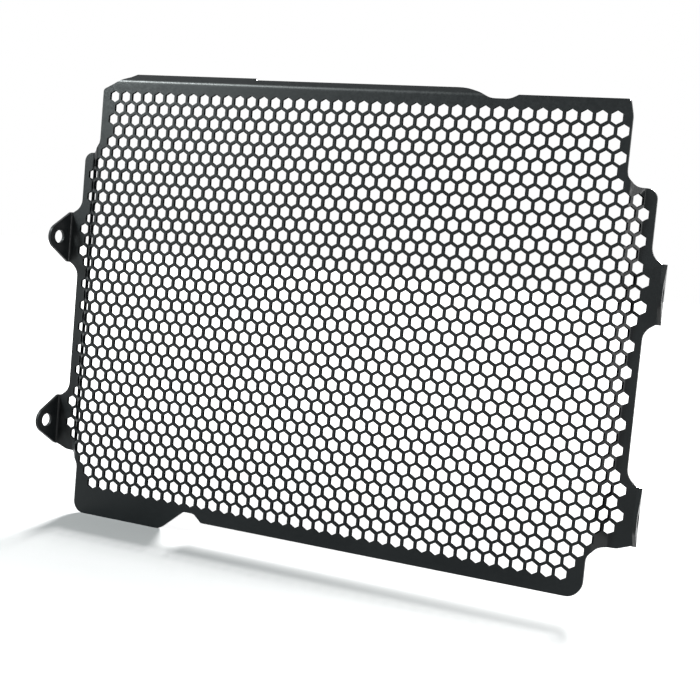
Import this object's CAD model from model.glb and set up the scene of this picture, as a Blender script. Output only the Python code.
import math

import bpy
import numpy as np
from mathutils import Matrix, Vector
from mathutils.geometry import delaunay_2d_cdt


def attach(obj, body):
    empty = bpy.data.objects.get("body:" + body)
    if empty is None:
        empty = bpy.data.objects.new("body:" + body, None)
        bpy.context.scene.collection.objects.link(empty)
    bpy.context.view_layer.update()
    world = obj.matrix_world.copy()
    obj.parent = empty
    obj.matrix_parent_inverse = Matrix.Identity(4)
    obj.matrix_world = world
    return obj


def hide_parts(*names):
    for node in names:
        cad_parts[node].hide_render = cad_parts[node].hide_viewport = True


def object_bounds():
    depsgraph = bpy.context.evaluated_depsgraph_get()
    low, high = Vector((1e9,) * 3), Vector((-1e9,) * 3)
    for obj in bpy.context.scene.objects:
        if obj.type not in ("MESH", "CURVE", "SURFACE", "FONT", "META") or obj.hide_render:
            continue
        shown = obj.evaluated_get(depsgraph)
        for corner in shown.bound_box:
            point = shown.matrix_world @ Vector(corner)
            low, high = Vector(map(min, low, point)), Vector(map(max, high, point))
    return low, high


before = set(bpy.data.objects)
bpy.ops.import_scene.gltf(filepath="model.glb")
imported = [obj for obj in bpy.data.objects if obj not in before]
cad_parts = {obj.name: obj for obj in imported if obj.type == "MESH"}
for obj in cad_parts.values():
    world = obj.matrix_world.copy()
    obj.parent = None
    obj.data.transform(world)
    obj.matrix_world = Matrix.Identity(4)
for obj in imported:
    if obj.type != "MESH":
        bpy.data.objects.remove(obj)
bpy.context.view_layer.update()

# Sizes in millimetres, as in the guard's source. X runs right, Y back and Z up, from the middle
# of the hole pattern on the front of the mesh field.
SHEET_T = 1.5

# Hexagonal holes, in rows counted from the top. A reach is how far a row goes to one side of the
# middle, in pitches.
PITCH = 6.5
HOLE_W = 5.2
ROWS = 36
ROW_PITCH = PITCH * math.sqrt(3) / 2
TOP_ROW_Z = (ROWS - 1) / 2 * ROW_PITCH
ROWS_ABOVE_FLANGES = 6
FIELD_REACH = 20.0
FLANGE_REACH = 22.0
EAR_ROWS = (13, 29)
TAPER_ROW = 32
TAPER_REACH = 20.5

# The mesh field's outline. Each group of x values belongs to corners that follow one another,
# and TOP_CORNER is the cut at the top right, along the top and down the side.
FIELD_HALF = 133.6
TOP_H = 106.5
TOP_CORNER = (1.6, 7.0)
SHOULDER_Z = 101.9
BOTTOM_H = 108.0
TAB_LOW = -114.9
TAB_XS = (-68.0, -81.0)
NOTCH_XS = (-57.4, -62.0)
NOTCH_RISE = 3.9

# The stepped sides and the flanges behind the field
FLANGE_EDGE = 146.2
FLANGE_TOP = 70.2
FLANGE_BOTTOM = 84.6
FLANGE_SKEW = 0.4
STEP_X0 = 133.96
STEP_DEPTH = 6.0
STEP_BEND_R = 1.5
STEP_ANGLE = math.radians(45)

# The ears, folded forward
EAR_ZS = (26.0, -69.5)
EAR_X0 = 151.2
EAR_ANGLE = math.radians(84)
EAR_BEND_R = 1.0
EAR_BASE = 25.8
EAR_FLARE = 0.66
EAR_REACH = 7.0
EAR_TIP_R = 6.7
EAR_HOLE_D = 6.6
TIP_START = 0.5

# The lip, folded back, with its step and its run-out at the right
LIP_Z = 104.9
LIP_ANGLE = math.radians(45)
LIP_BEND_R = 2.0
LIP_FLAT = 4.0
LIP_STEP = 1.3
LIP_STEP_X = -48.8
LIP_STEP_RUN = 0.8
LIP_CUT_XS = (-119.0, -116.4)
LIP_CUT_DROP = 2.1
RUN_OUT_XS = (58.0, 70.5, 79.5, 83.3)
RUN_OUT_DROP = 0.3
LIP_FOLD_END_X = 76.0

# Parts that a fold or a round edge is divided into, and the most degrees that one step of a
# rounded corner takes
STEP_FOLD_PARTS = 4
EAR_FOLD_PARTS = 8
LIP_FOLD_PARTS = 6
TIP_PARTS = 16
BOLT_PARTS = 28
CORNER_DEG = 9

# Ends of the lines that the mesh has along its folds, just outside the sheet
STEP_LINE = (-95.0, 78.0)
EAR_LINE_HALF = 14.0
LIP_LINE = (-134.0, 75.5)

# The folds laid flat: s is a place across the blank, measured along the middle of the sheet
MID_R = STEP_BEND_R + SHEET_T / 2
STEP_RISE = STEP_DEPTH - 2 * MID_R * (1 - math.cos(STEP_ANGLE))
STRIP = STEP_RISE / math.sin(STEP_ANGLE)
FOLD = MID_R * STEP_ANGLE
STEP_X1 = STEP_X0 + 2 * MID_R * math.sin(STEP_ANGLE) + STEP_RISE / math.tan(STEP_ANGLE)
FLANGE_S = STEP_X0 + 2 * FOLD + STRIP
EAR_S = FLANGE_S + EAR_X0 - STEP_X1
EAR_MID_R = EAR_BEND_R + SHEET_T / 2
EAR_FOLD = EAR_MID_R * EAR_ANGLE
BOLT_S = EAR_S + EAR_FOLD + EAR_REACH
LIP_MID_R = LIP_BEND_R + SHEET_T / 2
LIP_FOLD = LIP_MID_R * LIP_ANGLE

# The guard's own middle, which the frame has at its origin
LIP_TOP = LIP_Z + (LIP_BEND_R + SHEET_T) * math.sin(LIP_ANGLE) + LIP_FLAT * math.cos(LIP_ANGLE)
EAR_FRONT = (STEP_DEPTH - EAR_BEND_R * (1 - math.cos(EAR_ANGLE))
             - (EAR_REACH + EAR_TIP_R) * math.sin(EAR_ANGLE))
TO_FRAME = np.array([0.0, -(EAR_FRONT + STEP_DEPTH + SHEET_T) / 2, -(LIP_TOP + TAB_LOW) / 2])

# Finish of the sheet's edges: the bevel's width in metres, and the angles from which an edge is
# shaded sharp and gets the bevel
RIM_BEVEL = 0.00005
SHARP_ANGLE = math.radians(35)
BEVEL_ANGLE = math.radians(75)

# Colours and strengths. The floor and the world show white at a strength of 1.
COAT_DARK = (0.0034, 0.0042, 0.0046, 1)
COAT_LIGHT = (0.0050, 0.0060, 0.0064, 1)
HOLE_WALL_COLOUR = (0.0040, 0.0046, 0.0050, 1)
FLOOR_COLOUR = (0.17, 0.17, 0.17, 1)
WHITE = (1, 1, 1, 1)
FULL_WHITE = 1.0
WORLD_LIGHT = 0.15

# The floor: half its width, the x of the tab, round which its own glow is weak, and that glow.
# It rises to full white between two distances in metres, measured from the point above the tab's
# x that is as high as the guard's middle.
FLOOR_HALF = 6
TAB_X = -0.1
FLOOR_GLOW = 0.02
GLOW_NEAR = 0.11
GLOW_FAR = 0.45

# The sun from behind
SUN_POWER = 54
SUN_SPREAD = math.radians(14)
SUN_DIRECTION = (0.20, -1.10, -0.36)

# The photograph's view, from a fit to the pattern of holes: the camera's own axes and its place
# in the guard's millimetres
CAMERA_RIGHT = (0.908869, 0.407223, 0.090149)
CAMERA_UP = (-0.116678, 0.040732, 0.992334)
CAMERA_BACK = (0.400430, -0.912420, 0.084534)
CAMERA_PLACE = (245.218, -525.867, 35.413)
CAMERA_LENS = 63.82
CAMERA_SENSOR = 36


# The flat blank

def rounded(corners):
    """A closed outline from corners written as (s, z, radius)."""
    points = []
    n = len(corners)
    for i in range(n):
        before, here, after = (np.array(corners[(i + k) % n][:2], float) for k in (-1, 0, 1))
        r = corners[i][2]
        if r == 0:
            points.append(here)
            continue
        u = (before - here) / np.linalg.norm(before - here)
        v = (after - here) / np.linalg.norm(after - here)
        half = math.acos(float(np.clip(u @ v, -1, 1))) / 2
        centre = here + (u + v) / np.linalg.norm(u + v) * r / math.sin(half)
        first = here + u * r / math.tan(half) - centre
        last = here + v * r / math.tan(half) - centre
        a0 = math.atan2(first[1], first[0])
        turn = math.atan2(first[0] * last[1] - first[1] * last[0], first @ last)
        steps = max(2, math.ceil(abs(math.degrees(turn)) / CORNER_DEG))
        for k in range(steps + 1):
            a = a0 + turn * k / steps
            points.append(centre + r * np.array([math.cos(a), math.sin(a)]))
    return points


def side_corners():
    """Corners of the right flange and its ears on the blank, from the top down."""
    edge = FLANGE_S + FLANGE_EDGE - STEP_X1
    neck = EAR_BASE / 2
    spread = neck + (EAR_X0 - FLANGE_EDGE) * EAR_FLARE
    slope_s = EAR_S + EAR_FOLD - TIP_START

    # The slope from the fold's end touches the round tip
    to_tip = np.array([EAR_REACH + TIP_START, -neck])
    lean = math.atan2(to_tip[1], to_tip[0]) + math.asin(EAR_TIP_R / np.linalg.norm(to_tip))
    touch = EAR_TIP_R * np.array([-math.sin(lean), math.cos(lean)])
    a0 = math.atan2(touch[1], touch[0])

    corners = [(edge, FLANGE_TOP, 4.5)]
    for z in EAR_ZS:
        corners += [(edge, z + spread, 7), (EAR_S, z + neck, 0), (slope_s, z + neck, 0)]
        for k in range(TIP_PARTS + 1):
            a = a0 - 2 * a0 * k / TIP_PARTS
            corners.append((BOLT_S + EAR_TIP_R * math.cos(a), z + EAR_TIP_R * math.sin(a), 0))
        corners += [(slope_s, z - neck, 0), (EAR_S, z - neck, 0)]
        if z == EAR_ZS[0]:
            corners.append((edge, z - spread, 7))
    # The lower ear runs straight into the flange's bottom corner
    corners.append((edge - 1, -FLANGE_BOTTOM, 6))
    return corners


def blank_outline():
    """The whole blank's outline, with the lip laid flat."""
    lip_top = LIP_Z + LIP_FOLD + LIP_FLAT
    lip_low = lip_top - LIP_STEP
    run_z = LIP_Z - RUN_OUT_DROP
    notch_z = -BOTTOM_H + NOTCH_RISE
    under_z = -FLANGE_BOTTOM - FLANGE_SKEW
    fall, level, rise, top_end = RUN_OUT_XS
    side = side_corners()
    top = [(-FIELD_HALF, SHOULDER_Z, 2),
           (LIP_CUT_XS[0], lip_top - LIP_CUT_DROP, 3), (LIP_CUT_XS[1], lip_top, 0),
           (LIP_STEP_X, lip_top, 0), (LIP_STEP_X + LIP_STEP_RUN, lip_low, 0),
           (fall, lip_low, 18), (level, run_z, 12), (rise, run_z, 8), (top_end, TOP_H, 0),
           (FIELD_HALF - TOP_CORNER[0], TOP_H, 1.5), (FIELD_HALF, TOP_H - TOP_CORNER[1], 8),
           (FIELD_HALF, FLANGE_TOP, 7)]
    bottom = [(FIELD_HALF, under_z, 7), (FIELD_HALF, -BOTTOM_H, 7.5),
              (NOTCH_XS[0], -BOTTOM_H, 0.5), (NOTCH_XS[1], notch_z, 3.5),
              (TAB_XS[0], notch_z, 4), (TAB_XS[1], TAB_LOW, 7),
              (-FIELD_HALF, TAB_LOW, 6), (-FIELD_HALF, under_z, 7)]
    left = [(-s, z, r) for s, z, r in reversed(side)] + [(-FIELD_HALF, FLANGE_TOP, 7)]
    return rounded(top + side + bottom + left)


def row_reach(row, side):
    """How far a row's holes reach to one side, in pitches."""
    if row < ROWS_ABOVE_FLANGES:
        short = side < 0 and row < ROWS_ABOVE_FLANGES - 1
        return FIELD_REACH - 0.5 if short else FIELD_REACH
    if row >= TAPER_ROW:
        return TAPER_REACH - (row - TAPER_ROW) / 2
    beside_ear = any(abs(row - ear_row) <= 1 for ear_row in EAR_ROWS)
    return FLANGE_REACH + 0.5 if beside_ear else FLANGE_REACH


def hole_centres():
    """Centres of the mesh's holes on the blank, row by row."""
    centres = []
    for row in range(ROWS):
        offset = 0.5 if row % 2 == 0 else 0.0
        left = math.floor(row_reach(row, -1) - offset) + offset
        right = math.floor(row_reach(row, 1) - offset) + offset
        for k in range(int(round(left + right)) + 1):
            centres.append(((k - left) * PITCH, TOP_ROW_Z - row * ROW_PITCH))
    return centres


def blank_mesh():
    """Triangles of the blank, with every hole's rim and every fold's lines in them."""
    outline = blank_outline()
    points = [tuple(p) for p in outline]
    edges = [(i, (i + 1) % len(points)) for i in range(len(points))]

    def ring(loop):
        n = len(points)
        points.extend(loop)
        edges.extend((n + k, n + (k + 1) % len(loop)) for k in range(len(loop)))

    def line(a, b):
        points.extend([a, b])
        edges.append((len(points) - 2, len(points) - 1))

    centres = hole_centres()
    hex_r = HOLE_W / math.sqrt(3)
    sixths = [k * math.pi / 3 for k in range(6)]
    for cx, cz in centres:
        ring([(cx + hex_r * math.sin(a), cz + hex_r * math.cos(a)) for a in sixths])
    bolts = [(side * BOLT_S, z) for side in (-1, 1) for z in EAR_ZS]
    bolt_r = EAR_HOLE_D / 2
    around = [2 * math.pi * k / BOLT_PARTS for k in range(BOLT_PARTS)]
    for s, z in bolts:
        ring([(s + bolt_r * math.cos(a), z + bolt_r * math.sin(a)) for a in around])

    for side in (-1, 1):
        for k in range(STEP_FOLD_PARTS + 1):
            for start in (STEP_X0, STEP_X0 + FOLD + STRIP):
                s = side * (start + FOLD * k / STEP_FOLD_PARTS)
                line((s, STEP_LINE[0]), (s, STEP_LINE[1]))
        for k in range(EAR_FOLD_PARTS + 1):
            s = side * (EAR_S + EAR_FOLD * k / EAR_FOLD_PARTS)
            for z in EAR_ZS:
                line((s, z - EAR_LINE_HALF), (s, z + EAR_LINE_HALF))
    for k in range(LIP_FOLD_PARTS + 1):
        z = LIP_Z + LIP_FOLD * k / LIP_FOLD_PARTS
        line((LIP_LINE[0], z), (LIP_LINE[1], z))

    verts, _, faces, _, _, _ = delaunay_2d_cdt(
        [Vector(p) for p in points], edges, [], 0, 1e-5)
    verts = np.array([tuple(v) for v in verts])
    faces = np.array([tuple(f) for f in faces])
    middle = verts[faces].mean(1)
    keep = inside(middle, np.array(outline)) & ~in_hole(middle, centres)
    for s, z in bolts:
        keep &= np.hypot(middle[:, 0] - s, middle[:, 1] - z) > bolt_r
    return verts, faces[keep]


def inside(p, loop):
    """Which points lie inside a closed outline."""
    result = np.zeros(len(p), bool)
    for a, b in zip(loop, np.roll(loop, -1, 0)):
        if a[1] == b[1]:
            continue
        crosses = (a[1] > p[:, 1]) != (b[1] > p[:, 1])
        at = (b[0] - a[0]) * (p[:, 1] - a[1]) / (b[1] - a[1]) + a[0]
        result ^= crosses & (p[:, 0] < at)
    return result


def in_hole(p, centres, margin=0.0):
    """Which points lie inside a hexagonal hole, or within a margin round it."""
    centres = np.array(centres)
    result = np.zeros(len(p), bool)
    half = HOLE_W / 2 + margin
    for row in range(ROWS):
        z = TOP_ROW_Z - row * ROW_PITCH
        in_row = centres[np.abs(centres[:, 1] - z) < 0.1, 0]
        near = np.nonzero(np.abs(p[:, 1] - z) < HOLE_W)[0]
        dx = np.abs(p[near, 0][:, None] - in_row[None, :]).min(1)
        dz = np.abs(p[near, 1] - z)
        hit = (dx < half) & (dx / 2 + dz * math.sqrt(3) / 2 < half)
        result[near[hit]] = True
    return result


# From the blank to the folded guard

def folded(s, z):
    """Middle of the sheet and its backward normal, where the blank's points come to lie."""
    side = np.sign(s)
    a = np.abs(s)
    field_y = SHEET_T / 2
    flange_y = STEP_DEPTH + SHEET_T / 2
    x, y, turn = a.copy(), np.full_like(a, field_y), np.zeros_like(a)
    ca, sa = math.cos(STEP_ANGLE), math.sin(STEP_ANGLE)
    ce, se = math.cos(EAR_ANGLE), math.sin(EAR_ANGLE)

    # The fold at the field's edge
    d = a - STEP_X0
    m = (d > 0) & (d <= FOLD)
    t = d[m] / MID_R
    x[m], y[m], turn[m] = STEP_X0 + MID_R * np.sin(t), field_y + MID_R * (1 - np.cos(t)), t

    # The sloping strip
    d = d - FOLD
    x1, y1 = STEP_X0 + MID_R * sa, field_y + MID_R * (1 - ca)
    m = (d > 0) & (d <= STRIP)
    x[m], y[m], turn[m] = x1 + d[m] * ca, y1 + d[m] * sa, STEP_ANGLE

    # The fold back, and the flange
    d = d - STRIP
    x2, y2 = x1 + STRIP * ca, y1 + STRIP * sa
    m = (d > 0) & (d <= FOLD)
    t = STEP_ANGLE - d[m] / MID_R
    x[m], y[m], turn[m] = x2 + MID_R * (sa - np.sin(t)), y2 + MID_R * (np.cos(t) - ca), t
    m = a > FLANGE_S
    x[m], y[m] = STEP_X1 + a[m] - FLANGE_S, flange_y

    # The ear's fold, and the ear
    d = a - EAR_S
    m = (d > 0) & (d <= EAR_FOLD)
    t = d[m] / EAR_MID_R
    x[m], y[m] = EAR_X0 + EAR_MID_R * np.sin(t), flange_y - EAR_MID_R * (1 - np.cos(t))
    turn[m] = -t
    d = d - EAR_FOLD
    m = d > 0
    x[m] = EAR_X0 + EAR_MID_R * se + d[m] * ce
    y[m] = flange_y - EAR_MID_R * (1 - ce) - d[m] * se
    turn[m] = -EAR_ANGLE

    normal = np.stack([-side * np.sin(turn), np.cos(turn), np.zeros_like(a)], 1)
    place = np.stack([side * x, y, z], 1)

    # The lip
    lip = (z > LIP_Z) & (s < LIP_FOLD_END_X)
    d = z[lip] - LIP_Z
    t = np.minimum(d / LIP_MID_R, LIP_ANGLE)
    flat = np.maximum(d - LIP_FOLD, 0)
    place[lip, 1] = field_y + LIP_MID_R * (1 - np.cos(t)) + flat * np.sin(t)
    place[lip, 2] = LIP_Z + LIP_MID_R * np.sin(t) + flat * np.cos(t)
    normal[lip, 1], normal[lip, 2] = np.cos(t), -np.sin(t)
    return place, normal


def build_guard():
    """The folded, perforated sheet as one closed mesh, in metres in the row's frame."""
    flat, tris = blank_mesh()
    used = np.unique(tris)
    index = np.full(len(flat), -1)
    index[used] = np.arange(len(used))
    flat, tris = flat[used], index[tris]
    area = np.cross(flat[tris[:, 1]] - flat[tris[:, 0]], flat[tris[:, 2]] - flat[tris[:, 0]])
    tris[area < 0] = tris[area < 0][:, ::-1]
    place, normal = folded(flat[:, 0], flat[:, 1])
    front = place - normal * SHEET_T / 2
    back = place + normal * SHEET_T / 2
    n = len(place)
    points = (np.concatenate([front, back]) + TO_FRAME) / 1000

    # An edge that only one triangle has lies on a rim, and gets a wall from front to back
    sides = np.concatenate([tris[:, [0, 1]], tris[:, [1, 2]], tris[:, [2, 0]]])
    seen = {(a, b) for a, b in sides.tolist()}
    rims = [(a, b) for a, b in sides.tolist() if (b, a) not in seen]
    faces = tris.tolist() + (tris[:, ::-1] + n).tolist() + [(b, a, a + n, b + n) for a, b in rims]

    mesh = bpy.data.meshes.new("guard_sheet")
    mesh.from_pydata(points.tolist(), [], faces)
    middles = np.array([(flat[a] + flat[b]) / 2 for a, b in rims])
    kinds = np.zeros(len(faces), np.int32)
    kinds[2 * len(tris):] = in_hole(middles, hole_centres(), margin=0.1)
    mesh.polygons.foreach_set("material_index", kinds)
    mesh.shade_smooth()
    mesh.set_sharp_from_angle(angle=SHARP_ANGLE)
    guard = bpy.data.objects.new("guard_sheet", mesh)
    bpy.context.scene.collection.objects.link(guard)
    bevel = guard.modifiers.new("rims", "BEVEL")
    bevel.limit_method = "ANGLE"
    bevel.angle_limit = BEVEL_ANGLE
    bevel.width = RIM_BEVEL
    bevel.segments = 1
    bevel.harden_normals = False
    return guard


# Materials

def new_material(name):
    """A node material, its tree and its shader."""
    material = bpy.data.materials.new(name)
    material.use_nodes = True
    tree = material.node_tree
    return material, tree, tree.nodes["Principled BSDF"]


def noise(tree, coords, scale):
    """Noise fixed to the object, with scale in cells a metre."""
    node = tree.nodes.new("ShaderNodeTexNoise")
    node.inputs["Scale"].default_value = scale
    node.inputs["Detail"].default_value = 2
    tree.links.new(coords.outputs["Object"], node.inputs["Vector"])
    return node.outputs["Fac"]


def ramp(tree, source, start, end, low, high):
    """A value that goes from low to high while source goes from start to end."""
    node = tree.nodes.new("ShaderNodeMapRange")
    node.inputs["From Min"].default_value = start
    node.inputs["From Max"].default_value = end
    node.inputs["To Min"].default_value = low
    node.inputs["To Max"].default_value = high
    tree.links.new(source, node.inputs["Value"])
    return node.outputs["Result"]


def background_rays(tree):
    """1 for the rays that see a white background: the camera's, and those of gloss and glass."""
    rays = tree.nodes.new("ShaderNodeLightPath")
    value = rays.outputs["Is Camera Ray"]
    for kind in ("Is Glossy Ray", "Is Transmission Ray"):
        either = tree.nodes.new("ShaderNodeMath")
        either.operation = "MAXIMUM"
        tree.links.new(value, either.inputs[0])
        tree.links.new(rays.outputs[kind], either.inputs[1])
        value = either.outputs["Value"]
    return value


def powder_coat():
    """Satin black powder coat with a fine orange-peel texture."""
    material, tree, shader = new_material("black_powder_coat")
    coords = tree.nodes.new("ShaderNodeTexCoord")

    tint = tree.nodes.new("ShaderNodeMix")
    tint.data_type = "RGBA"
    tint.inputs["A"].default_value = COAT_DARK
    tint.inputs["B"].default_value = COAT_LIGHT
    broad = noise(tree, coords, 26)
    tree.links.new(ramp(tree, broad, 0.35, 0.65, 0, 1), tint.inputs["Factor"])
    tree.links.new(tint.outputs["Result"], shader.inputs["Base Color"])

    speckle = noise(tree, coords, 900)
    tree.links.new(ramp(tree, speckle, 0.35, 0.65, 0.30, 0.40), shader.inputs["Roughness"])

    bump = tree.nodes.new("ShaderNodeBump")
    bump.inputs["Strength"].default_value = 0.25
    bump.inputs["Distance"].default_value = 0.00008
    tree.links.new(noise(tree, coords, 1500), bump.inputs["Height"])
    tree.links.new(bump.outputs["Normal"], shader.inputs["Normal"])
    shader.inputs["IOR"].default_value = 1.5
    shader.inputs["Specular IOR Level"].default_value = 0.12
    return material


def hole_walls():
    """The same coat inside the small holes, which take no highlight."""
    material, _, shader = new_material("hole_walls")
    shader.inputs["Base Color"].default_value = HOLE_WALL_COLOUR
    shader.inputs["Roughness"].default_value = 0.8
    shader.inputs["Specular IOR Level"].default_value = 0.0
    return material


def white_floor():
    """White to the camera and in reflections, and still darker where the guard shades it."""
    material, tree, shader = new_material("white_floor")
    shader.inputs["Base Color"].default_value = FLOOR_COLOUR
    shader.inputs["Roughness"].default_value = 0.9
    shader.inputs["Specular IOR Level"].default_value = 0.0

    # The floor's own light is weak round the tab, where the shadow lies, and white further out
    coords = tree.nodes.new("ShaderNodeTexCoord")
    length = tree.nodes.new("ShaderNodeVectorMath")
    length.operation = "LENGTH"
    tree.links.new(coords.outputs["Object"], length.inputs[0])
    glow = ramp(tree, length.outputs["Value"], GLOW_NEAR, GLOW_FAR, FLOOR_GLOW, FULL_WHITE)
    scale = tree.nodes.new("ShaderNodeMath")
    scale.operation = "MULTIPLY"
    tree.links.new(glow, scale.inputs[0])
    tree.links.new(background_rays(tree), scale.inputs[1])
    shader.inputs["Emission Color"].default_value = WHITE
    tree.links.new(scale.outputs["Value"], shader.inputs["Emission Strength"])
    return material


# Floor, light and camera

def add_floor():
    """A wide flat floor at the guard's lowest point."""
    low = float(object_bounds()[0][2])
    mesh = bpy.data.meshes.new("floor")
    corners = [(-FLOOR_HALF, -FLOOR_HALF, low), (FLOOR_HALF, -FLOOR_HALF, low),
               (FLOOR_HALF, FLOOR_HALF, low), (-FLOOR_HALF, FLOOR_HALF, low)]
    mesh.from_pydata(corners, [], [(0, 1, 2, 3)])
    floor = bpy.data.objects.new("floor", mesh)
    floor.location.x = TAB_X
    bpy.context.scene.collection.objects.link(floor)
    floor.data.materials.append(white_floor())


def area_light(name, place, target, size, power, colour=(1, 1, 1)):
    """A square lamp at a place in metres, turned to its target."""
    light = bpy.data.lights.new(name, "AREA")
    light.shape = "RECTANGLE"
    light.size = size
    light.size_y = size
    light.energy = power
    light.color = colour
    lamp = bpy.data.objects.new(name, light)
    lamp.location = place
    lamp.rotation_euler = (Vector(target) - Vector(place)).to_track_quat("-Z", "Y").to_euler()
    bpy.context.scene.collection.objects.link(lamp)


def add_sun():
    """Low sun from behind, which lays the border's soft shadow on the floor."""
    light = bpy.data.lights.new("back", "SUN")
    light.energy = SUN_POWER
    light.angle = SUN_SPREAD
    sun = bpy.data.objects.new("back", light)
    sun.rotation_euler = Vector(SUN_DIRECTION).to_track_quat("-Z", "Y").to_euler()
    bpy.context.scene.collection.objects.link(sun)


def add_lights():
    """The key from the upper left, a weak lamp below it, one from the right, and the sun."""
    area_light("key", place=(-1.0, -0.8, 1.05), target=(-0.1, 0, 0.08),
               size=0.22, power=70, colour=(0.93, 1, 1))
    area_light("front", place=(-0.85, -0.95, 0.35), target=(-0.1, 0, 0.1),
               size=0.3, power=9, colour=(0.9, 1, 1))
    area_light("side", place=(1.4, -0.55, 0.12), target=(0.1, 0, 0), size=0.4, power=20)
    add_sun()


def add_world():
    """White to the camera and in reflections, and weak as a light on the guard."""
    world = bpy.data.worlds.new("studio")
    bpy.context.scene.world = world
    world.use_nodes = True
    tree = world.node_tree
    back = tree.nodes["Background"]
    back.inputs["Color"].default_value = WHITE
    level = ramp(tree, background_rays(tree), 0, 1, WORLD_LIGHT, FULL_WHITE)
    tree.links.new(level, back.inputs["Strength"])


def add_camera():
    """The photograph's camera."""
    data = bpy.data.cameras.new("camera")
    data.sensor_width = CAMERA_SENSOR
    data.lens = CAMERA_LENS
    data.clip_start = 0.01
    camera = bpy.data.objects.new("camera", data)
    turn = Matrix((CAMERA_RIGHT, CAMERA_UP, CAMERA_BACK)).transposed().to_4x4()
    place = (np.array(CAMERA_PLACE) + TO_FRAME) / 1000
    camera.matrix_world = Matrix.Translation(Vector(place)) @ turn
    bpy.context.scene.collection.objects.link(camera)
    bpy.context.scene.camera = camera


def main():
    guard = build_guard()
    guard.data.materials.append(powder_coat())
    guard.data.materials.append(hole_walls())
    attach(guard, "root")
    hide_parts("radiator_guard")
    add_floor()
    add_lights()
    add_world()
    add_camera()
    bpy.context.scene.view_settings.view_transform = "Standard"


main()
